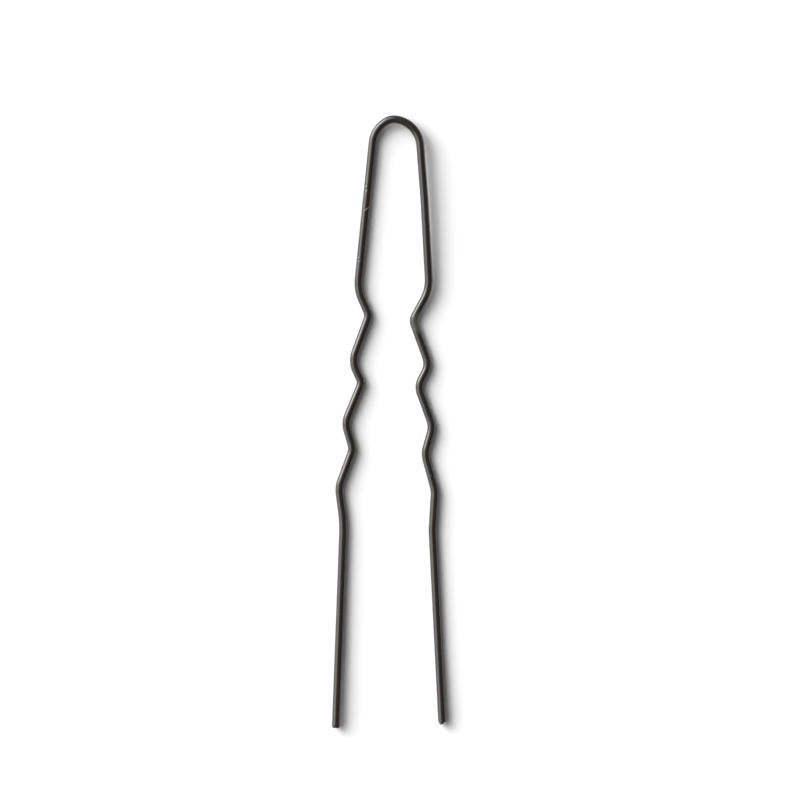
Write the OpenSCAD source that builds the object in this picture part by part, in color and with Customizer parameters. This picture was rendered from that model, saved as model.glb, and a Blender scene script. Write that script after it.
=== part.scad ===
// Crimped U-shaped hair pin, bent from one length of round steel wire with a thin baked lacquer.
// It lies flat, its bow towards +Y, its points towards -Y and its left leg at -X.
// Lengths are in mm and angles in degrees. The origin is the middle of its footprint, at the floor.
// The wire is parted at six seams, where a hinge stands in for its springy bending. At each seam
// the piece nearer the bow has a round end, and the next piece has a cup that turns on it.

/* [Wire] */
// Thickness of the wire, lacquer included
wire_d = 1; // [0.6:0.05:1.4]
// How much thinner the wire is in a bend, where bending has stretched it
bend_thin = 0.03; // [0.03:0.01:0.06]
// How much smaller than the wire the round end of a seam is
ball_under = 0.03; // [0.02:0.01:0.06]
// Clearance between a seam's round end and its cup
seam_gap = 0.05; // [0.03:0.01:0.1]

/* [Bow] */
// Radius of the bow's tight top, to the middle of the wire
top_r = 2; // [1.6:0.1:3.2]
// How far the wire turns along the tight top, to the left of its highest point
left_top_turn = 30; // [10:5:40]
// How far the wire turns along the tight top, to the right of its highest point
right_top_turn = 10; // [10:5:40]
// Radius of the bow's left shoulder
left_shoulder_r = 3.4; // [2.4:0.1:4.5]
// Radius of the bow's right shoulder
right_shoulder_r = 3.5; // [2.4:0.1:4.5]
// How far the bow's highest point lies to the right of the pin's middle line
bow_offset = 0.65; // [0:0.05:1.5]
// Straight wire between each shoulder and its seam
bow_tail = 1.5; // [0.8:0.1:3]
// How much higher the bow's right end lies than its left end, as hand bending leaves it
bow_rise = 0.6; // [0.05:0.05:1]

/* [Legs] */
// Length of the pin, from the top of its bow to the left tip
pin_length = 76; // [65:1:100]
// How much shorter the right leg is, at the middle of its slanted cut
right_leg_short = 0.7; // [0:0.1:3]
// How far the left tip lies out from the middle line
left_tip_out = 6.6; // [4:0.1:10]
// How far the right tip lies out from the middle line
right_tip_out = 6.6; // [4:0.1:10]
// Straight wire between a leg's last bend and the seam of its point
point_lead = 1.5; // [0.8:0.1:4]
// Bevel round the left tip, which is cut square
tip_bevel = 0.1; // [0.05:0.05:0.2]
// Slant of the cut across the right tip
tip_slant = 27; // [5:1:40]

/* [Crimps] */
// How far the first crimp bend of both legs lies below the top of the bow
crimp_start = 21.6; // [18:0.1:30]
// How far each bend of the left leg lies below the first crimp bend
left_down = [0, 3.2, 8.95, 11.55, 16.55, 19.8, 24.6, 28.9]; // rising in steps of 2.4 or more
// How far each bend of the left leg lies out from the middle line
left_out = [3.9, 2.5, 4.6, 3.4, 5.45, 4.5, 6.25, 5.65]; // 2 to 8
// Radius of each bend of the left leg, to the middle of the wire
left_bend_r = [5, 1.5, 3, 1.3, 2.8, 2, 3.5, 18]; // 1 to 20, or less where bends are close
// How far each bend of the right leg lies below the first crimp bend, a faint one above it first
right_down = [-11.1, 0, 3.8, 9.35, 12, 17, 20.4, 25, 29.8]; // rising in steps of 2.4 or more
// How far each bend of the right leg lies out from the middle line
right_out = [4.4, 5, 2.95, 4.95, 3.6, 5.4, 4.45, 5.7, 5.4]; // 2 to 8
// Radius of each bend of the right leg, to the middle of the wire
right_bend_r = [30, 5, 1.3, 2.4, 2.2, 2.6, 2.8, 3.5, 6]; // 1 to 30, or less where bends are close

/* [Hidden] */
$fn = 72;
lacquer = [0.16, 0.14, 0.13];
wire_r = wire_d / 2;
ball_r = (wire_d - ball_under) / 2;
bend_lap = 0.05;

// A place on a leg is [out, down]: out from the middle line, and down from the top of the bow.
// A direction is its angle from straight down, positive outwards.
// Each leg is drawn as a right one, and the left leg is then mirrored.
LEFT = 0;
RIGHT = 1;
out_of = [left_out, right_out];
down_of = [left_down, right_down];
bend_r_of = [left_bend_r, right_bend_r];
top_turn = [left_top_turn, right_top_turn];
shoulder_r = [left_shoulder_r, right_shoulder_r];
top_out = [-bow_offset, bow_offset];
tip = [[left_tip_out, pin_length], [right_tip_out, pin_length - right_leg_short]];

function heading(from, to) = atan2(to[0] - from[0], to[1] - from[1]);
function along(angle) = [sin(angle), cos(angle)];

// The bends of a leg, and the middle of its shoulder's arc
function bends(leg) = [for (i = [0 : len(out_of[leg]) - 1]) [out_of[leg][i], crimp_start + down_of[leg][i]]];
function shoulder_middle(leg) = [top_out[leg], wire_r + top_r]
  + (top_r - shoulder_r[leg]) * [sin(top_turn[leg]), -cos(top_turn[leg])];

// The shank leaves the shoulder's arc at a tangent, towards the leg's first bend
function lean(leg) = let (middle = shoulder_middle(leg), first = bends(leg)[0])
  heading(middle, first) - asin(shoulder_r[leg] / norm(first - middle));
function shank_start(leg) = shoulder_middle(leg) + shoulder_r[leg] * [cos(lean(leg)), -sin(lean(leg))];

// The corners of a leg's route, and for each run between two corners its direction and straight length
function corners(leg) = concat([shank_start(leg)], bends(leg), [tip[leg]]);
function headings(leg) = let (c = corners(leg)) [for (i = [0 : len(c) - 2]) heading(c[i], c[i + 1])];
function turns(leg) = let (h = headings(leg)) [for (i = [1 : len(h) - 1]) h[i] - h[i - 1]];
function trims(leg) = let (t = turns(leg)) concat(
  [0], [for (i = [0 : len(t) - 1]) bend_r_of[leg][i] * tan(abs(t[i]) / 2)], [0]);
function straights(leg) = let (c = corners(leg), t = trims(leg))
  [for (i = [0 : len(c) - 2]) norm(c[i + 1] - c[i]) - t[i] - t[i + 1]];

// The shank ends in the run after the first crimp bend, the waves after the last bend
function shank_bends(leg) = len([for (d = down_of[leg]) if (d <= 0) d]);
function last_bend(leg) = len(out_of[leg]);

// The seams of a leg: below the bow, in the middle of the first crimp's slope, and above the point
function bow_seam(leg) = shank_start(leg) + bow_tail * along(lean(leg));
function crimp_seam(leg) = let (i = shank_bends(leg))
  corners(leg)[i] + (trims(leg)[i] + straights(leg)[i] / 2) * along(headings(leg)[i]);
function point_seam(leg) = let (i = last_bend(leg))
  corners(leg)[i] + (trims(leg)[i] + point_lead) * along(headings(leg)[i]);

// The rows of a bent piece: straight length, turn after it and radius of the turn
function rows(leg, first, last) = let (s = straights(leg), t = turns(leg))
  [for (i = [first : last]) [s[i], t[i], bend_r_of[leg][i]]];
function shoulder_rows(leg) = [
  [0, lean(leg) + top_turn[leg] - 90, shoulder_r[leg]],
  [bow_tail, 0, 0]];
function shank_rows(leg) = let (n = shank_bends(leg), r = rows(leg, 0, n - 1)) concat(
  [[r[0][0] - bow_tail, r[0][1], r[0][2]]],
  [for (i = [1 : 1 : n - 1]) r[i]],
  [[straights(leg)[n] / 2, 0, 0]]);
function waves_rows(leg) = let (n = shank_bends(leg), r = rows(leg, n, last_bend(leg) - 1)) concat(
  [[r[0][0] / 2, r[0][1], r[0][2]]],
  [for (i = [1 : len(r) - 1]) r[i]],
  [[point_lead, 0, 0]]);
function point_length(leg) = straights(leg)[last_bend(leg)] - point_lead;

// The bow is tipped about its left seam, and the right shank slopes from it down to the floor
bow_span = bow_seam(LEFT)[0] + bow_seam(RIGHT)[0];
bow_tip = asin(bow_rise / bow_span);
bow_draw = bow_span * (1 - cos(bow_tip));
shank_slope = asin(bow_rise / (crimp_seam(RIGHT)[1] - bow_seam(RIGHT)[1]));

// The middle of the footprint, from the middle line and from the top of the bow
function reach(leg) = max(concat([tip[leg][0]], out_of[leg])) + wire_r;
middle = [(reach(RIGHT) - reach(LEFT)) / 2, pin_length / 2];

// Pieces of wire start at the origin and head towards -Y, and a positive turn is towards +X
module straight(length) {
  rotate([90, 0, 0]) cylinder(h = length, d = wire_d);
}

module past_turn(turn, radius) {
  side = sign(turn) * radius;
  translate([side, 0, 0]) rotate([0, 0, turn]) translate([-side, 0, 0]) children();
}

// A ring of wire that passes the origin and turns towards +X
module ring(radius, thickness) {
  translate([radius, 0, 0]) rotate_extrude() translate([radius, 0]) circle(d = thickness);
}

// Room for the quarter of a ring that lies behind its cross-section at the origin
module room_behind(radius, lap = 0) {
  translate([-wire_d, -lap, -wire_d]) cube([radius + wire_d, radius + wire_d + lap, 2 * wire_d]);
}

// One bend: a ring of wire, kept between its first and last cross-section and a lap into its neighbours
module bend(turn, radius) {
  mirror([turn < 0 ? 1 : 0, 0, 0])
    intersection() {
      ring(radius, wire_d - bend_thin);
      mirror([0, 1, 0]) room_behind(radius, bend_lap);
      past_turn(abs(turn), radius) room_behind(radius, bend_lap);
    }
}

// A run of straights and bends, with the children at its far end
module wire(rows, i = 0) {
  if (rows[i][0] > 0) straight(rows[i][0]);
  translate([0, -rows[i][0], 0]) {
    if (i + 1 < len(rows)) {
      bend(rows[i][1], rows[i][2]);
      past_turn(rows[i][1], rows[i][2]) wire(rows, i + 1) children();
    } else {
      children();
    }
  }
}

module round_end() {
  sphere(r = ball_r);
}

module cup() {
  sphere(r = ball_r + seam_gap);
}

// Places its children at a point of a leg, heading along it
module on_leg(leg, place, angle, lift = 0) {
  translate([-middle[0], middle[1], wire_r + lift])
    mirror([leg == LEFT ? 1 : 0, 0, 0])
      translate([place[0], -place[1], 0]) rotate([0, 0, angle]) children();
}

// Places its children where the top of the bow meets a shoulder
module at_shoulder(leg) {
  mirror([leg == LEFT ? 1 : 0, 0, 0])
    translate([top_out[leg], -wire_r, 0]) rotate([0, 0, 90]) past_turn(-top_turn[leg], top_r) children();
}

module shank(leg) {
  difference() {
    wire(shank_rows(leg)) round_end();
    cup();
  }
}

module waves(leg) {
  difference() {
    wire(waves_rows(leg)) round_end();
    cup();
  }
}

module bow() {
  color(lacquer)
    translate([-middle[0] - bow_seam(LEFT)[0], middle[1], wire_r])
      rotate([0, -bow_tip, 0])
        translate([bow_seam(LEFT)[0], 0, 0]) {
          intersection() {
            translate([bow_offset, -wire_r, 0]) rotate([0, 0, 90]) mirror([1, 0, 0]) ring(top_r, wire_d);
            at_shoulder(LEFT) mirror([1, 0, 0]) room_behind(top_r);
            at_shoulder(RIGHT) mirror([1, 0, 0]) room_behind(top_r);
          }
          at_shoulder(LEFT) wire(shoulder_rows(LEFT)) round_end();
          at_shoulder(RIGHT) wire(shoulder_rows(RIGHT)) round_end();
        }
}

module left_shank() {
  color(lacquer) on_leg(LEFT, bow_seam(LEFT), lean(LEFT)) shank(LEFT);
}

module right_shank() {
  place = bow_seam(RIGHT) - [bow_draw, 0];
  color(lacquer)
    on_leg(RIGHT, place, 0, bow_rise)
      rotate([shank_slope, 0, 0]) rotate([0, 0, lean(RIGHT)]) shank(RIGHT);
}

module left_waves() {
  color(lacquer) on_leg(LEFT, crimp_seam(LEFT), headings(LEFT)[shank_bends(LEFT)]) waves(LEFT);
}

module right_waves() {
  color(lacquer) on_leg(RIGHT, crimp_seam(RIGHT), headings(RIGHT)[shank_bends(RIGHT)]) waves(RIGHT);
}

// The left tip is cut square, with a small bevel
module left_point() {
  length = point_length(LEFT);
  color(lacquer)
    on_leg(LEFT, point_seam(LEFT), headings(LEFT)[last_bend(LEFT)])
      difference() {
        rotate([90, 0, 0]) rotate_extrude() polygon([
          [0, 0],
          [wire_r, 0],
          [wire_r, length - tip_bevel],
          [wire_r - tip_bevel, length],
          [0, length]]);
        cup();
      }
}

// The right tip is sheared off on a slant, longest on its inner side
module right_point() {
  color(lacquer)
    on_leg(RIGHT, point_seam(RIGHT), headings(RIGHT)[last_bend(RIGHT)])
      difference() {
        straight(point_length(RIGHT) + wire_d);
        cup();
        translate([0, -point_length(RIGHT), 0]) rotate([0, 0, tip_slant])
          translate([-2 * wire_d, -4 * wire_d, -wire_d])
            cube([4 * wire_d, 4 * wire_d, 2 * wire_d]);
      }
}

bow();
left_shank();
right_shank();
left_waves();
right_waves();
left_point();
right_point();
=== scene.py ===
# %% [markdown]
# # A crimped hair pin
#
# The pin is one length of round steel wire, bent into a narrow bow with two long legs and a run of
# crimps in the middle of each, and baked with a thin dark lacquer. This notebook builds how it looks
# around a imported model of it. The model's six hinges stand in for the spring of the wire.

# %% Load the imported model
import math
import bmesh
import bpy
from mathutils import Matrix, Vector


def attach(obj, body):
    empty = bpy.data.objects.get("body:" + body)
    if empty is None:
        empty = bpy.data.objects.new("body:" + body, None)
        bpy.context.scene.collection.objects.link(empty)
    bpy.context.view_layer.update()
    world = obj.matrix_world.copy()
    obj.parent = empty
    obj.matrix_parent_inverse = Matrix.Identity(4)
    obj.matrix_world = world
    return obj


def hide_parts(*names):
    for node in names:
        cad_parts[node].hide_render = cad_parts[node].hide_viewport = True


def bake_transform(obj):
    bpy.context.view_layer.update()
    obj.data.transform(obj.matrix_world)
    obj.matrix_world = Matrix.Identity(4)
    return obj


MM = 0.001

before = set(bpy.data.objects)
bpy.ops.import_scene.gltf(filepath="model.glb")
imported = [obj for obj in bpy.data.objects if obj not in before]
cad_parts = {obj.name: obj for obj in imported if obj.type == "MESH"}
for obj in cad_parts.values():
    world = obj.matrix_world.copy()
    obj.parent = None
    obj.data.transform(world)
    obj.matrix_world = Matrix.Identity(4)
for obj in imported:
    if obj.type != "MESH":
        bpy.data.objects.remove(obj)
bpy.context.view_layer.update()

# %% [markdown]
# ## The sizes of the wire
#
# A bent wire is easiest to describe as a bender works: straight runs and turns. The corners of the
# route are measured in millimetres, out from the middle line of the pin and down from its first crimp,
# and the tips down from the top of the bow. Each corner has the radius of its bend. Runs and turns are
# worked out from them, which keeps every bend smooth with the straight wire.

# %% Sizes and corners
# Lengths are in mm and angles in degrees, here and below.
WIRE_R = 0.5
PIN_LENGTH = 76
TOP_R = 2
BOW_OFFSET = 0.65
BOW_RISE = 0.6
CRIMP_START = 21.6
LEFT = {
    "name": "left", "side": -1, "top_turn": 30, "shoulder_r": 3.4, "tip": (6.6, 76),
    "out": (3.9, 2.5, 4.6, 3.4, 5.45, 4.5, 6.25, 5.65),
    "down": (0, 3.2, 8.95, 11.55, 16.55, 19.8, 24.6, 28.9),
    "bend_r": (5, 1.5, 3, 1.3, 2.8, 2, 3.5, 18),
}
RIGHT = {
    "name": "right", "side": 1, "top_turn": 10, "shoulder_r": 3.5, "tip": (6.6, 75.3),
    "out": (4.4, 5, 2.95, 4.95, 3.6, 5.4, 4.45, 5.7, 5.4),
    "down": (-11.1, 0, 3.8, 9.35, 12, 17, 20.4, 25, 29.8),
    "bend_r": (30, 5, 1.3, 2.4, 2.2, 2.6, 2.8, 3.5, 6),
}


def heading(a, b):
    """Angle of the line from a to b, in degrees from straight down, positive outwards."""
    return math.degrees(math.atan2(b[0] - a[0], b[1] - a[1]))


def shoulder_end(leg, first):
    """Where the shoulder's bend runs straight on to the first corner, and the angle of that run."""
    turned = math.radians(leg["top_turn"])
    extra = TOP_R - leg["shoulder_r"]
    middle = (leg["side"] * BOW_OFFSET + extra * math.sin(turned),
              WIRE_R + TOP_R - extra * math.cos(turned))
    tangent = math.degrees(math.asin(leg["shoulder_r"] / math.dist(middle, first)))
    lean = heading(middle, first) - tangent
    end = (middle[0] + leg["shoulder_r"] * math.cos(math.radians(lean)),
           middle[1] - leg["shoulder_r"] * math.sin(math.radians(lean)))
    return end, lean


def moves_of(leg):
    """The runs and turns of a leg, from the top of the bow to its tip."""
    bends = [(out, CRIMP_START + down) for out, down in zip(leg["out"], leg["down"])]
    start, lean = shoulder_end(leg, bends[0])
    corners = [start] + bends + [leg["tip"]]
    aims = [heading(a, b) for a, b in zip(corners, corners[1:])]
    turns = [b - a for a, b in zip(aims, aims[1:])]
    cut = [0] + [r * math.tan(math.radians(abs(t) / 2)) for r, t in zip(leg["bend_r"], turns)] + [0]
    moves = [("turn", -leg["top_turn"], TOP_R), ("turn", lean + leg["top_turn"] - 90, leg["shoulder_r"])]
    for i, (a, b) in enumerate(zip(corners, corners[1:])):
        moves.append(("run", math.dist(a, b) - cut[i] - cut[i + 1]))
        if i < len(turns):
            moves.append(("turn", turns[i], leg["bend_r"][i]))
    return moves


def length_of(move):
    """Length of wire in a move, in mm."""
    return move[1] if move[0] == "run" else math.radians(abs(move[1])) * move[2]


for leg in (LEFT, RIGHT):
    leg["moves"] = moves_of(leg)
    leg["length"] = sum(length_of(m) for m in leg["moves"])
    print(leg["name"], "leg:", round(leg["length"], 1), "mm of wire from the top of the bow")


# %% [markdown]
# ## Walking along the route
#
# The wire is drawn in seven stretches, and each crosses at most one hinge, because a piece can bend
# between two bodies only. Every stretch starts and ends in straight wire, where the ends of two
# neighbours meet without a mark. These helpers find the place and direction at a distance along a leg,
# and the moves between two distances.

# %% Places and stretches
NO_DISTANCE = 1e-9
LEAST_SHARE = 1e-6


def walk(leg, distance):
    """Place in mm and direction in radians, on the floor plan, at a distance along a leg."""
    side = leg["side"]
    place = Vector((BOW_OFFSET, PIN_LENGTH / 2 - WIRE_R, 0))
    aim = math.radians(0 if side > 0 else 180)
    for move in leg["moves"]:
        step = min(distance, length_of(move))
        if move[0] == "run":
            place = place + Vector((math.cos(aim), math.sin(aim), 0)) * step
        else:
            turn = side * math.copysign(step / move[2], move[1])
            inward = math.copysign(move[2], turn)
            centre = place + Vector((-math.sin(aim), math.cos(aim), 0)) * inward
            aim += turn
            place = centre + Vector((math.sin(aim), -math.cos(aim), 0)) * inward
        distance -= step
        if distance <= NO_DISTANCE:
            break
    return place, aim


def stretch(leg, start, end):
    """The moves of a leg between two distances. A turn to the left, seen from above, is positive."""
    part, done = [], 0
    for move in leg["moves"]:
        size = length_of(move)
        share = (min(end, done + size) - max(start, done)) / size
        done += size
        if share > LEAST_SHARE:
            amount = share * move[1] * (1 if move[0] == "run" else leg["side"])
            part.append((move[0], amount) + move[2:])
    return part


def backwards(moves):
    """The same stretch of wire, taken from its far end."""
    return [m if m[0] == "run" else ("turn", -m[1], m[2]) for m in reversed(moves)]


def distance_at(leg, run, share):
    """Distance along a leg to a share of one of its runs, which are counted from 0."""
    runs = -1
    done = 0
    for move in leg["moves"]:
        runs += move[0] == "run"
        if move[0] == "run" and runs == run:
            return done + share * move[1]
        done += length_of(move)


for leg in (LEFT, RIGHT):
    leg["bow_end"] = distance_at(leg, run=0, share=0)
    print("the bow's", leg["name"], "side ends after", round(leg["bow_end"], 2), "mm")

# %% [markdown]
# ## Where the wire lifts
#
# The pin does not lie quite flat. Bending by hand left the right shank and that side of the bow a
# little above the table, and both tips as well: their shadows come away from the wire. A ramp with
# rounded ends raises each without a kink.

# %% The height of the wire
# A tip's lift has a start, measured down from the top of the bow, and a height at the end.
HINGE_AFTER = 1.5
LIFT_START = 27
TIP_LIFT = {"left": (53, 0.22), "right": (66, 0.17)}
left_bow_hinge, _ = walk(LEFT, LEFT["bow_end"] + HINGE_AFTER)
right_bow_hinge, _ = walk(RIGHT, RIGHT["bow_end"] + HINGE_AFTER)


def soft_ramp(t, rounding=0.08):
    """A ramp from 0 to 1 with rounded ends."""
    if t < -rounding or t > 1 + rounding:
        return float(t > 0.5)
    if t < rounding:
        return (t + rounding) ** 2 / (4 * rounding)
    return t if t < 1 - rounding else 1 - (1 + rounding - t) ** 2 / (4 * rounding)


def levelled(t):
    """A ramp made steep at its start and level at its end."""
    return 1 - (1 - t) ** 2


def height_at(place):
    """Height of the wire's middle above the table, in mm."""
    across = soft_ramp((place.x - left_bow_hinge.x) / (right_bow_hinge.x - left_bow_hinge.x))
    foot = PIN_LENGTH / 2 - LIFT_START
    up = soft_ramp((place.y - foot) / (right_bow_hinge.y - foot))
    start, rise = TIP_LIFT["left" if place.x < BOW_OFFSET else "right"]
    tip = rise * soft_ramp((PIN_LENGTH / 2 - start - place.y) / (PIN_LENGTH - start))
    return WIRE_R + BOW_RISE * levelled(across) * levelled(up) + tip


print("right side of the bow lies", round(height_at(right_bow_hinge) - WIRE_R, 3), "mm up")

# %% [markdown]
# ## Bending the wire
#
# Round wire could be a curve with a round bevel, which is quick, but its rings twist and bunch up in
# tight bends. Here a disc is pushed along the route instead: extruded through the runs and spun through
# the turns. That gives even rings and a closed solid. Each ring also notes where it lay before bending,
# as distances across, up and along the wire. The finish reads that note later, so that drawing lines
# follow the wire round every bend. Across is positive outwards. Along counts from the top of the bow,
# negative on the left leg, and a stretch drawn down the left leg has a sense of -1.

# %% Tools for bending
SIDES = 40
RUN_STEP = 0.25
TURN_STEP = 4
CRISP_ANGLE = 35


def select_nothing():
    """Deselects every object."""
    if bpy.context.object and bpy.context.object.mode != "OBJECT":
        bpy.ops.object.mode_set(mode="OBJECT")
    bpy.ops.object.select_all(action="DESELECT")


def note_ring(piece, place, aim, along, sense):
    """Writes on the selected ring where it lies in the straight wire, in mm."""
    bm = bmesh.from_edit_mesh(piece.data)
    layer = bm.verts.layers.float_vector["unbent"]
    middle = Vector((place.x, place.y, height_at(place)))
    leftwards = Vector((-math.sin(aim), math.cos(aim), 0))
    for v in bm.verts:
        if v.select:
            off = v.co / MM - middle
            v[layer] = (sense * off.dot(leftwards), off.z, along)


def start_wire(name, place, aim):
    """A disc across the wire's start, in edit mode, with room for the note."""
    select_nothing()
    bpy.ops.mesh.primitive_circle_add(
        vertices=SIDES, radius=WIRE_R * MM, fill_type="NGON",
        location=(place.x * MM, place.y * MM, height_at(place) * MM),
        rotation=(math.radians(90), 0, aim + math.radians(90)))
    piece = bpy.context.object
    piece.name = piece.data.name = name
    bpy.ops.object.transform_apply(location=True, rotation=True, scale=True)
    piece.data.attributes.new("unbent", "FLOAT_VECTOR", "POINT")
    bpy.ops.object.mode_set(mode="EDIT")
    bpy.ops.mesh.select_mode(type="FACE")
    bpy.ops.mesh.select_all(action="SELECT")
    return piece


def bend_wire(name, place, aim, moves, along, sense):
    """A closed length of wire that follows the moves from a place and direction."""
    piece = start_wire(name, place, aim)
    note_ring(piece, place, aim, along, sense)
    for move in moves:
        size = length_of(move)
        count = math.ceil(size / RUN_STEP)
        if move[0] == "turn":
            count = max(count, math.ceil(abs(move[1]) / TURN_STEP))
        for _ in range(count):
            before = height_at(place)
            if move[0] == "run":
                ahead = Vector((math.cos(aim), math.sin(aim), 0)) * size / count
                place = place + ahead
                ahead.z = height_at(place) - before
                bpy.ops.mesh.extrude_region_move(TRANSFORM_OT_translate={"value": ahead * MM})
            else:
                turn = math.radians(move[1]) / count
                inward = math.copysign(move[2], turn)
                centre = place + Vector((-math.sin(aim), math.cos(aim), 0)) * inward
                bpy.ops.mesh.spin(steps=1, angle=-turn, center=centre * MM, axis=(0, 0, 1))
                aim += turn
                place = centre + Vector((math.sin(aim), -math.cos(aim), 0)) * inward
                bpy.ops.transform.translate(value=(0, 0, (height_at(place) - before) * MM))
            along += sense * size / count
            note_ring(piece, place, aim, along, sense)
    return piece


def put_in_order(mesh):
    """Sorts the points by place and the faces by their points. Spin and bevel leave them to chance."""
    order = sorted(range(len(mesh.vertices)), key=lambda i: tuple(mesh.vertices[i].co))
    rank = {old: new for new, old in enumerate(order)}
    places = [mesh.vertices[i].co.copy() for i in order]
    notes = [mesh.attributes["unbent"].data[i].vector.copy() for i in order]
    faces = [[rank[i] for i in face.vertices] for face in mesh.polygons]
    mesh.clear_geometry()
    mesh.from_pydata(places, [], sorted(faces, key=sorted))
    layer = mesh.attributes.new("unbent", "FLOAT_VECTOR", "POINT")
    for point, note in zip(layer.data, notes):
        point.vector = note


def end_work(piece):
    """Leaves edit mode with every face outwards and the wire smooth, its cut edges crisp."""
    bpy.ops.mesh.select_all(action="SELECT")
    bpy.ops.mesh.normals_make_consistent(inside=False)
    bpy.ops.object.mode_set(mode="OBJECT")
    put_in_order(piece.data)
    bpy.ops.object.shade_smooth_by_angle(angle=math.radians(CRISP_ANGLE))
    low = [min(v.co[i] for v in piece.data.vertices) for i in range(3)]
    high = [max(v.co[i] for v in piece.data.vertices) for i in range(3)]
    size = [round((b - a) / MM, 2) for a, b in zip(low, high)]
    print(piece.name, len(piece.data.polygons), "faces,", size, "mm")


print("rings of", SIDES, "points, at most", RUN_STEP, "mm apart and", TURN_STEP, "degrees in a bend")

# %% [markdown]
# ## The bow
#
# The bow is the closed end of the pin, where a thumb pushes it in. It is not a half circle: its top is
# tight and its two shoulders are wider. It is drawn from its left tail over the top to its right tail,
# and rides on its own body. Drawing it in one go keeps its top free of a seam.

# %% The bow
TAIL_CUT = 0.4
left_tail = LEFT["bow_end"] + TAIL_CUT
right_tail = RIGHT["bow_end"] + TAIL_CUT
place, aim = walk(LEFT, left_tail)
over_the_top = backwards(stretch(LEFT, 0, left_tail)) + stretch(RIGHT, 0, right_tail)
bow_wire = bend_wire("bow_wire", place, aim + math.pi, over_the_top, -left_tail, 1)
end_work(bow_wire)

# %% [markdown]
# ## The shanks and the waves
#
# A shank is the nearly straight wire below the bow. Its piece runs from the tail of the bow to a cut
# further down the shank, so the hinge below the bow lies inside it. The next piece goes on round the
# first bend, holds the crimp hinge and ends in the short straight between two waves. Both are drawn with
# the same tool as the bow, because to the bender it is all one wire.

# %% The shanks and the waves
SHANK_CUT = {"left": (0, 0.55), "right": (1, 0.3)}
WAVES_CUT = {"left": (5, 0.5), "right": (6, 0.5)}
wires = {"shank": {}, "waves": {}, "point": {}}
for leg, tail in ((LEFT, left_tail), (RIGHT, right_tail)):
    name, side = leg["name"], leg["side"]
    shank_end = distance_at(leg, *SHANK_CUT[name])
    leg["point_start"] = distance_at(leg, *WAVES_CUT[name])
    for kind, start, end in (("shank", tail, shank_end), ("waves", shank_end, leg["point_start"])):
        place, aim = walk(leg, start)
        wires[kind][name] = bend_wire(f"{name}_{kind}_wire", place, aim, stretch(leg, start, end),
                                      side * start, side)
        end_work(wires[kind][name])

# %% [markdown]
# ## The points
#
# Each point holds the last hinge. The left one was cut square by jaws that squeezed its end a little
# thinner. The right one was sheared off on a slant, longest on its inner side, and the corner there is
# nipped off. Its wire is drawn a little too long, bisected once for each cut, and each open end is
# closed with a face. The bisect tool can fill a cut by itself, but on a grazing cut it also fills gaps
# that are none.

# %% Tools for the cut ends
# A cut lies so far beyond the tip and so far outwards, and its slant is turned from square.
TIP_TAPER = 0.88
TIP_BEVEL = 0.06
SHEAR = {"beyond": 0.17, "outwards": 0, "slant": 22}
NIP = {"beyond": 0.02, "outwards": -0.36, "slant": -66}
SHEAR_BEVEL = 0.04
SAME_WAY = 0.9999


def cut_square(middle):
    """Squeezes the selected end face around its middle and rounds its edge."""
    bpy.ops.transform.resize(value=(TIP_TAPER, TIP_TAPER, TIP_TAPER), center_override=middle * MM)
    bpy.ops.mesh.bevel(offset=TIP_BEVEL * MM, segments=3, affect="EDGES")


def shear_off(piece, tip, aim):
    """Cuts the end off on two slants at a tip and rounds the edges of the cuts."""
    forwards = Vector((math.cos(aim), math.sin(aim), 0))
    outwards = Vector((-forwards.y, forwards.x, 0))
    cut_ways = []
    for cut in (SHEAR, NIP):
        cut_aim = aim + math.radians(cut["slant"])
        cut_ways.append(Vector((math.cos(cut_aim), math.sin(cut_aim), 0)))
        on_cut = tip + forwards * cut["beyond"] + outwards * cut["outwards"]
        bpy.ops.mesh.select_all(action="SELECT")
        bpy.ops.mesh.bisect(plane_co=on_cut * MM, plane_no=cut_ways[-1], clear_outer=True)
        bpy.ops.mesh.select_mode(type="EDGE")
        bpy.ops.mesh.select_all(action="DESELECT")
        bpy.ops.mesh.select_non_manifold()
        bpy.ops.mesh.edge_face_add()
    bpy.ops.mesh.select_mode(type="FACE")
    bpy.ops.mesh.select_all(action="SELECT")
    bpy.ops.mesh.normals_make_consistent(inside=False)
    for face in bmesh.from_edit_mesh(piece.data).faces:
        face.select_set(max(face.normal.dot(way) for way in cut_ways) > SAME_WAY)
    bpy.ops.mesh.bevel(offset=SHEAR_BEVEL * MM, segments=2, affect="EDGES")


print("the left tip tapers to", TIP_TAPER, "and the right one is cut at", SHEAR["slant"], "degrees")

# %% The points
for leg in (LEFT, RIGHT):
    name, side = leg["name"], leg["side"]
    place, aim = walk(leg, leg["point_start"])
    spare = [("run", 2 * WIRE_R)] if leg is RIGHT else []
    moves = stretch(leg, leg["point_start"], leg["length"]) + spare
    piece = bend_wire(f"{name}_point_wire", place, aim, moves, side * leg["point_start"], side)
    tip, aim = walk(leg, leg["length"])
    if leg is RIGHT:
        shear_off(piece, tip, aim)
    else:
        cut_square(Vector((tip.x, tip.y, height_at(tip))))
    end_work(piece)
    wires["point"][name] = piece

# %% [markdown]
# ## Dents and blisters
#
# Wire that went through a crimping tool has a few small marks. A bump in the shader would do for most,
# but they catch the light better as real shape. The few faces around a mark are subdivided and then
# pushed in or pulled out along their normals, in steps that get narrower, which leaves a round hollow.

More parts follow.
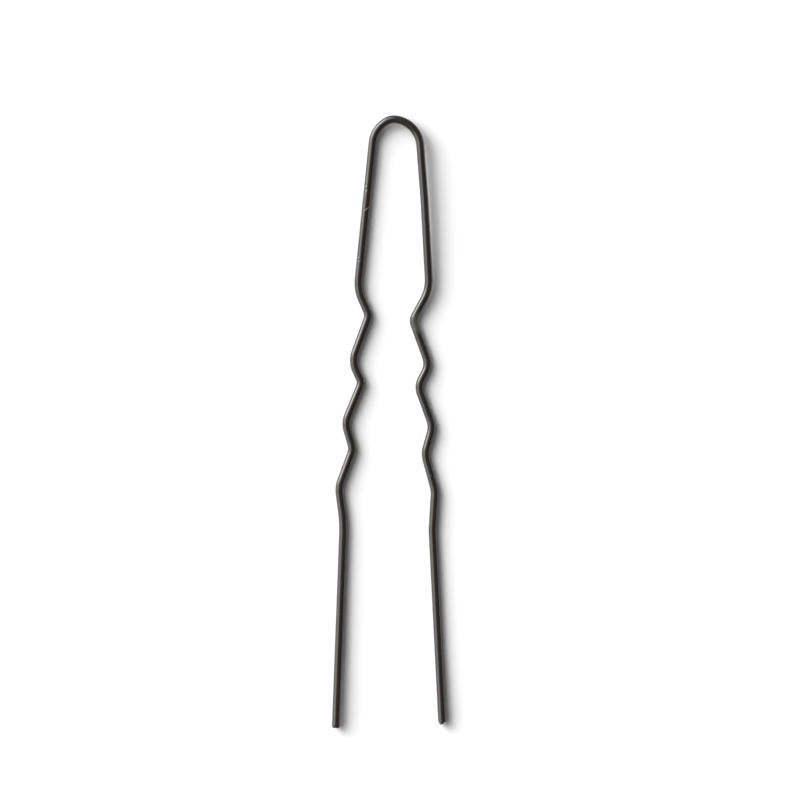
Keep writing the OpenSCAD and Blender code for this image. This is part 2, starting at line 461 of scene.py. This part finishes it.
# %% Dents and blisters
# A face near a mark is cut so often that its parts are smaller than the mark's reach.
DENT_STEPS = 4
DENT_MARGIN = 0.15
FINE_STEPS = 0.3
DENTS = {
    "blister": {"on": "left shank", "along": 9.84, "across": 0.23, "reach": 0.13, "depth": 0.035},
    "pit": {"on": "left shank", "along": 10.12, "across": 0.19, "reach": 0.14, "depth": -0.05},
    "crater": {"on": "left waves", "along": 18.95, "across": 0.16, "reach": 0.18, "depth": -0.03},
    "crater_rim": {"on": "left waves", "along": 18.68, "across": 0.16, "reach": 0.09, "depth": 0.02},
    "nick": {"on": "right shank", "along": 8.1, "across": -0.47, "reach": 0.22, "depth": -0.07},
    "press_mark": {"on": "right waves", "along": 27.6, "across": 0.1, "reach": 0.8, "depth": -0.03},
    "scrape": {"on": "right point", "along": 47.18, "across": -0.07, "reach": 0.15, "depth": -0.02},
}


def on_wire(leg, along, across):
    """Place in mm of a spot on the upper side of the wire. Across is positive outwards."""
    place, aim = walk(leg, along)
    outwards = Vector((-math.sin(aim), math.cos(aim), 0)) * leg["side"]
    height = height_at(place) + math.sqrt(WIRE_R ** 2 - across ** 2)
    return place + outwards * across + Vector((0, 0, height))


def push_spot(piece, spot, reach, depth):
    """Pushes the surface of a piece out, or in with a negative depth, around a spot. All in mm."""
    select_nothing()
    bpy.context.view_layer.objects.active = piece
    bpy.ops.object.mode_set(mode="EDIT")
    for face in bmesh.from_edit_mesh(piece.data).faces:
        face.select_set((face.calc_center_median() / MM - spot).length < reach + DENT_MARGIN)
    bpy.ops.mesh.subdivide(number_cuts=math.ceil(FINE_STEPS / reach))
    bpy.ops.mesh.select_mode(type="VERT")
    moved = 0
    for step in range(DENT_STEPS):
        bpy.ops.mesh.select_all(action="DESELECT")
        step_reach = reach * (1 - step / DENT_STEPS)
        points = bmesh.from_edit_mesh(piece.data).verts
        near = [v for v in points if (v.co / MM - spot).length < step_reach]
        moved = max(moved, len(near))
        for v in near:
            v.select_set(True)
        if near:
            bpy.ops.transform.shrink_fatten(value=depth * MM / DENT_STEPS)
    bpy.ops.object.mode_set(mode="OBJECT")
    return moved


for name, dent in DENTS.items():
    leg_name, kind = dent["on"].split()
    spot = on_wire(LEFT if leg_name == "left" else RIGHT, dent["along"], dent["across"])
    moved = push_spot(wires[kind][leg_name], spot, dent["reach"], dent["depth"])
    print(name, "moves", moved, "points")

# %% [markdown]
# ## Finding the hinges
#
# The real pin bends all along its legs. The bow rides on its own body, and for every other stretch the
# place of its hinge is found, with the ends of the span over which the stretch would turn. The model's
# own parts are hidden. The crimp hinge lies in the slope of the first crimp. That run is found by
# counting back from the last one, because the right leg has one corner more in its shank.

# %% Joints
# The span in which a piece would bend runs from so far before its hinge to so far after it.
BEND_ZONE = {"shank": (1.0, 7.0), "waves": (4.5, 5.0), "point": (6.0, 7.0)}
RUNS_AFTER_CRIMP = 7
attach(bow_wire, "bow")
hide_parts("bow")
for leg in (LEFT, RIGHT):
    name = leg["name"]
    last = len(leg["out"])
    hinges = {
        "shank": leg["bow_end"] + HINGE_AFTER,
        "waves": distance_at(leg, run=last - RUNS_AFTER_CRIMP, share=0.5),
        "point": distance_at(leg, run=last, share=0) + HINGE_AFTER,
    }
    for kind, hinge in hinges.items():
        piece = wires[kind][name]
        before, after = BEND_ZONE[kind]
        start, _ = walk(leg, hinge - before)
        end, _ = walk(leg, hinge + after)
        start * MM
        end * MM
        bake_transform(piece)
        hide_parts(f"{name}_{kind}")
        print(piece.name, "hinge at", [round(v, 2) for v in walk(leg, hinge)[0]])

# %% [markdown]
# ## The lacquer
#
# Baked lacquer on steel is a near-black brown with a soft gloss. A plain dark colour would look like
# plastic. What gives it away as painted wire are fine lines along the wire, a slight unevenness of the
# gloss and a few specks. The small class below lets a shader be written as plain sums, and the patterns
# read the unbent place of each point.

# %% Shader sums
class Field:
    """A value that varies over a surface, made of shader nodes."""

    def __init__(self, tree, socket):
        self.tree, self.socket = tree, socket

    def node(self, kind, settings=None, **inputs):
        """A new node with its settings first, then values or links on its sockets, i0 being the first."""
        added = self.tree.nodes.new(kind)
        for key, value in (settings or {}).items():
            setattr(added, key, value)
        for key, value in inputs.items():
            numbered = key[0] == "i" and key[1:].isdigit()
            socket = added.inputs[int(key[1:]) if numbered else key.replace("_", " ")]
            if isinstance(value, Field):
                self.tree.links.new(value.socket, socket)
            else:
                socket.default_value = value
        return added

    def of(self, node, output=0):
        return Field(self.tree, node.outputs[output])

    def value_math(self, operation, other=0.0):
        return self.of(self.node("ShaderNodeMath", {"operation": operation}, i0=self, i1=other))

    def vector_math(self, operation, other, output="Vector", **more):
        return self.of(self.node("ShaderNodeVectorMath", {"operation": operation},
                                 i0=self, i1=other, **more), output)

    def __add__(self, other):
        return self.value_math("ADD", other)

    def __sub__(self, other):
        return self.value_math("SUBTRACT", other)

    def __mul__(self, other):
        return self.value_math("MULTIPLY", other)

    __radd__ = __add__
    __rmul__ = __mul__

    def __rsub__(self, other):
        return self.of(self.node("ShaderNodeMath", {"operation": "SUBTRACT"}, i0=other, i1=self))

    def between(self, zero, one):
        """0 up to the first value, 1 from the second and smooth between them. The first may be larger."""
        return self.of(self.node("ShaderNodeMapRange", {"interpolation_type": "SMOOTHSTEP", "clamp": True},
                                 Value=self, From_Min=zero, From_Max=one))

    def tint(self, low, high):
        """A colour between two, by this value. Sockets 6 and 7 and output 2 are the colours'."""
        return self.of(self.node("ShaderNodeMix", {"data_type": "RGBA", "clamp_factor": True},
                                 Factor=self, i6=low, i7=high), 2)

    def part(self, axis):
        """One axis of a place, 0 to 2."""
        return self.of(self.node("ShaderNodeSeparateXYZ", None, i0=self), axis)

    def stretched(self, x, y, z):
        """The place with each axis scaled. A small scale draws a pattern out along that axis."""
        return self.vector_math("MULTIPLY", (x, y, z))

    def noise(self, scale, detail=2.0, roughness=0.5):
        return self.of(self.node("ShaderNodeTexNoise", None, Vector=self, Scale=scale, Detail=detail,
                                 Roughness=roughness), "Fac")

    def specks(self, scale, size, core=0.4):
        """Small round spots, one to a cell, of which a later pattern keeps some."""
        cells = self.node("ShaderNodeTexVoronoi", None, Vector=self, Scale=scale)
        return self.of(cells, "Distance").between(size, core * size)

    def near(self, spot, reach, core=0.4):
        """1 close to a spot and 0 beyond its reach."""
        return self.vector_math("DISTANCE", spot, "Value").between(reach, core * reach)

    def near_line(self, start, end, width, core=0.3):
        """1 on a line between two spots and 0 beyond its width."""
        run = Vector(end) - Vector(start)
        from_start = self.vector_math("SUBTRACT", start)
        share = from_start.vector_math("DOT_PRODUCT", run / run.length_squared, "Value")
        share = self.of(self.node("ShaderNodeClamp", None, Value=share))
        on_line = share.vector_math("MULTIPLY_ADD", run, i2=start)
        return self.vector_math("DISTANCE", on_line, "Value").between(width, core * width)


lacquer = bpy.data.materials.new("baked_lacquer")
lacquer.use_nodes = True
tree = lacquer.node_tree
root = Field(tree, None)
unbent = root.of(root.node("ShaderNodeAttribute", {"attribute_name": "unbent"}), "Vector")
print("the lacquer starts with", len(tree.nodes), "nodes")

# %% [markdown]
# ### Its patterns and marks
#
# Patterns at different scales make the lacquer uneven: patches of some millimetres, where it ran
# thicker or thinner, a finer mottle, the drawing lines of the wire below it and the orange peel of
# baked paint. An image could hold all that, but noise on the unbent place has no seam and no stretch in
# the bends. Rubbed places on the sides of the bends, pits and grains of dust are masks of the same
# kind. A mark that has one place, such as a scratch, is a distance to that place, measured as seen from
# above, and the pale ones are kept to the upper side. The pale spots on the blister and the crater's rim
# are painted highlights, and a pale greenish patch on the shaded side of the first right crimp is
# painted reflected light on rougher lacquer.

# %% The lacquer's patterns
patches = unbent.stretched(0.5, 0.5, 0.22).noise(scale=1.0).between(0.33, 0.67)
mottle = unbent.noise(scale=0.9, detail=3.0)
lines = unbent.stretched(14, 14, 0.5).noise(scale=1.0, detail=3.0, roughness=0.6)
peel = unbent.noise(scale=6.0)
print("patterns of the lacquer:", len(tree.nodes), "nodes")

# %% Marks in the lacquer
# Places are across and along the unbent wire. The lacquer is rubbed where the wire turns to its sides.
SIDE_EDGE = (0.34, 0.5)
SHADE_OF_PIT = (0.19, 0, -10.1)
SCRATCH = {"start": (0.12, 0, -12.75), "end": (-0.42, 0, -12.27), "width": 0.09}
SCRAPE = {"start": (-0.12, 0, 47.05), "end": (0, 0, 47.3), "width": 0.09}
DARK_MARK = {"start": (-0.25, 0, 25.2), "end": (0.25, 0, 25.9), "width": 0.1}
# A rough patch on the first right crimp, whose paler colour is painted reflected light on its shaded outer
# side.
MATT_AND_REFLECTION_PATCH = {"spot": (0.7, 0, 27.5), "reach": 1.9, "core": 0.3}
MATT_AND_REFLECTION_STRETCH = 2.6


def noted_spot(name):
    """Where a dent lies in the unbent wire, seen from above."""
    dent = DENTS[name]
    sense = -1 if dent["on"].startswith("left") else 1
    return (dent["across"], 0, sense * dent["along"])


across, along = unbent.part(0), unbent.part(2)
worn = unbent.stretched(2, 2, 0.8).noise(scale=1.0, detail=4.0, roughness=0.7).between(0.52, 0.72)
rubbed = 0.6 * worn * across.value_math("ABSOLUTE").between(*SIDE_EDGE)
grains = unbent.specks(scale=1.3, size=0.07) * unbent.noise(scale=1.7).between(0.52, 0.56)
pits = unbent.specks(scale=2.3, size=0.10) * unbent.noise(scale=1.1).between(0.5, 0.6)
top_side = unbent.part(1).between(0, 0.1)
from_above = unbent.stretched(1, 0, 1)
# The blister and crater spots are painted highlights on the blister and on the crater's rim.
blister = from_above.near(noted_spot("blister"), reach=0.11)
crater = from_above.near(noted_spot("crater_rim"), reach=0.1)
hollow = from_above.near(noted_spot("crater"), reach=0.14) + from_above.near(SHADE_OF_PIT, reach=0.12)
scratch, scrape, dark_mark = (from_above.near_line(**line) for line in (SCRATCH, SCRAPE, DARK_MARK))
# Rougher lacquer with painted reflected light on the shaded side of the first right crimp.
matt_and_painted_reflection = from_above.stretched(MATT_AND_REFLECTION_STRETCH, 1, 1).near(**MATT_AND_REFLECTION_PATCH)
# Pale marks: the blister and crater spots are painted highlights, while the scratch, the scrape and the
# grains are pale marks in the lacquer itself.
dust_and_painted_glints = top_side * (0.8 * blister + 0.35 * crater + 0.5 * scratch + 0.15 * scrape) + 0.5 * grains
print("marks of the lacquer:", len(tree.nodes), "nodes")

# %% Bare steel at the cut ends
# So far before the tip, steel or a dull rim starts to show and then shows in full.
LEFT_CUT = (0.05, 0.01)
LEFT_RIM = (0.22, 0.14)
RIGHT_CUT = 0.03
left_cut = (0 - along).between(LEFT["length"] - LEFT_CUT[0], LEFT["length"] - LEFT_CUT[1])
bare_rim = (0 - along).between(LEFT["length"] - LEFT_RIM[0], LEFT["length"] - LEFT_RIM[1])
right_end = RIGHT["length"] + SHEAR["beyond"]
on_slant = along + across * math.tan(math.radians(SHEAR["slant"]))
cut_end = left_cut + on_slant.between(right_end - RIGHT_CUT, right_end)
print("with the cut ends:", len(tree.nodes), "nodes")

# %% [markdown]
# ### Its colour, gloss and relief
#
# The patterns are now added up. One by one, the marks lay their colour over that of the lacquer. A
# short list says how much rougher each pattern makes the surface, and another how far it stands up or
# lies below it, as shares of a relief of a few thousandths of a millimetre. Lists are easier to balance
# against a photo than one long sum.

# %% The lacquer put together
# Each amount is what a pattern adds at its full strength.
LACQUER_WARM = (0.0215, 0.0168, 0.0142, 1)
LACQUER_COOL = (0.0170, 0.0165, 0.0145, 1)
RUBBED = (0.058, 0.044, 0.034, 1)
# Painted reflected light: a pale greenish grey for the shaded side of the first right crimp.
PAINTED_REFLECTION = (0.115, 0.118, 0.095, 1)
# Pale dust and scratches, and the painted highlights on the blister and the crater's rim.
PALE_DUST_AND_GLINT = (0.42, 0.40, 0.36, 1)
STEEL_CUT = (0.16, 0.14, 0.125, 1)
SMOOTHEST = 0.12
ROUGHER = (
    (patches, 0.07), (mottle, 0.08), (lines, 0.06), (rubbed, 0.15), (dust_and_painted_glints, 0.3),
    (matt_and_painted_reflection, 0.2), (pits, 0.15), (cut_end, 0.15), (bare_rim, 0.35),
)
RAISED = (
    (lines, 0.8), (peel, 0.3), (mottle, 0.5), (pits, -1.2), (grains, 0.8),
    (dark_mark, -1.5), (hollow, -1.0),
)
RELIEF_STRENGTH = 0.4
RELIEF_DEPTH = 0.005
METAL_AT_CUT = 0.8
LACQUER_IOR = 1.65
WARM_GLEAM = (1.0, 0.945, 0.87, 1.0)

skin = tree.nodes["Principled BSDF"]
tone = patches.tint(LACQUER_WARM, LACQUER_COOL)
layers = ((rubbed, RUBBED), (0.75 * matt_and_painted_reflection, PAINTED_REFLECTION), (dust_and_painted_glints, PALE_DUST_AND_GLINT), (cut_end, STEEL_CUT))
for mask, colour in layers:
    tone = mask.tint(tone, colour)
gloss = SMOOTHEST
for pattern, amount in ROUGHER:
    gloss = gloss + amount * pattern
relief = sum(amount * pattern for pattern, amount in RAISED)
bump = root.node("ShaderNodeBump", None, Height=relief, Strength=RELIEF_STRENGTH,
                 Distance=RELIEF_DEPTH * MM)
tree.links.new(tone.socket, skin.inputs["Base Color"])
tree.links.new(gloss.socket, skin.inputs["Roughness"])
tree.links.new((METAL_AT_CUT * cut_end).socket, skin.inputs["Metallic"])
tree.links.new(bump.outputs["Normal"], skin.inputs["Normal"])
skin.inputs["IOR"].default_value = LACQUER_IOR
skin.inputs["Specular Tint"].default_value = WARM_GLEAM
for piece in [bow_wire] + [wire for pair in wires.values() for wire in pair.values()]:
    piece.data.materials.clear()
    piece.data.materials.append(lacquer)
print("finish on", len(tree.nodes), "nodes")

# %% [markdown]
# ## The floor
#
# The pin lies on white paper. The paper is pure white to the camera and in what the wire mirrors, and a
# little darker where it throws soft light back, which keeps the background white without washing light
# up onto the wire. Brighter lamps would whiten it too, but they would wash out the lacquer.

# %% The floor
PAPER = 0.8
FLOOR_SIZE = 3


def mix_shaders(field, factor, first, second, socket):
    """Feeds a socket with two shaders, the second where the factor is 1."""
    mix = field.node("ShaderNodeMixShader", None, i0=factor)
    field.tree.links.new(first.outputs[0], mix.inputs[1])
    field.tree.links.new(second.outputs[0], mix.inputs[2])
    field.tree.links.new(mix.outputs[0], socket)


bpy.ops.object.select_all(action="DESELECT")
bpy.ops.mesh.primitive_plane_add(size=FLOOR_SIZE, location=(0, 0, 0))
floor = bpy.context.object
floor.name = "floor"
paper = bpy.data.materials.new("white_paper")
paper.use_nodes = True
paper.node_tree.nodes.clear()
sheet = Field(paper.node_tree, None)
ray = sheet.node("ShaderNodeLightPath")
in_view = sheet.of(ray, "Is Camera Ray")
for kind in ("Is Glossy Ray", "Is Transmission Ray"):
    in_view = in_view.value_math("MAXIMUM", sheet.of(ray, kind))
plain = sheet.node("ShaderNodeBsdfDiffuse", None, Color=(PAPER, PAPER, PAPER, 1))
shown = sheet.node("ShaderNodeBsdfDiffuse", None, Color=(1, 1, 1, 1))
mix_shaders(sheet, in_view, plain, shown, sheet.node("ShaderNodeOutputMaterial").inputs["Surface"])
floor.data.materials.append(paper)
print("floor:", FLOOR_SIZE, "m of paper")

# %% [markdown]
# ## The lights
#
# Two soft lights stand low at the upper left, a window and the pale wall around it, so the shadows fall
# to the lower right with a dark core and a wide soft edge. Sun lamps with a wide angle do that for an
# object of any size. The world is white to the camera alone and otherwise gives a faint fill: dark
# lacquer would mirror a white sky all over, and the real one shows a dark room above it.

# %% The lights
# A lamp stands at a height and a turn from due left, and spread is how wide it looks from the pin.
FILL_LEVEL = 0.14
LAMPS = {
    "window": {"height": 26, "turn": 33, "spread": 40, "strength": 3.08},
    "pale_wall": {"height": 23, "turn": 23, "spread": 94, "strength": 3.95},
}
for name, lamp in LAMPS.items():
    light = bpy.data.lights.new(name, "SUN")
    light.angle = math.radians(lamp["spread"])
    light.energy = lamp["strength"]
    light_object = bpy.data.objects.new(name, light)
    bpy.context.collection.objects.link(light_object)
    height, turn = math.radians(lamp["height"]), math.radians(lamp["turn"])
    level = math.cos(height)
    towards = Vector((-level * math.cos(turn), level * math.sin(turn), math.sin(height)))
    light_object.rotation_euler = towards.to_track_quat("Z", "Y").to_euler()
world = bpy.data.worlds.new("studio")
world.use_nodes = True
tree = world.node_tree
sky = Field(tree, None)
fill = tree.nodes["Background"]
fill.inputs["Color"].default_value = (1, 1, 1, 1)
fill.inputs["Strength"].default_value = FILL_LEVEL
backdrop = sky.node("ShaderNodeBackground", None, Color=(1, 1, 1, 1), Strength=1.0)
to_camera = sky.of(sky.node("ShaderNodeLightPath"), "Is Camera Ray")
mix_shaders(sky, to_camera, fill, backdrop, tree.nodes["World Output"].inputs["Surface"])
bpy.context.scene.world = world
print("lamps:", sorted(LAMPS))

# %% [markdown]
# ## The camera
#
# The photo looks straight down with a long lens. The camera's height follows from the width that the
# picture takes in at the wire, so that a size in the picture can be set against the photo's.

# %% The camera
VIEW_WIDTH = 99.33
VIEW_MIDDLE = (1.37, 2.68)
LENS = 150
SENSOR = 36
NEAREST_SEEN = 0.01
camera = bpy.data.cameras.new("camera")
camera.lens = LENS
camera.sensor_width = SENSOR
camera.clip_start = NEAREST_SEEN
camera_object = bpy.data.objects.new("camera", camera)
bpy.context.collection.objects.link(camera_object)
camera_height = VIEW_WIDTH * LENS / SENSOR + WIRE_R
camera_object.location = (VIEW_MIDDLE[0] * MM, VIEW_MIDDLE[1] * MM, camera_height * MM)
bpy.context.scene.camera = camera_object
bpy.context.scene.view_settings.view_transform = "Standard"
print("camera height:", round(camera_object.location.z, 3), "m")
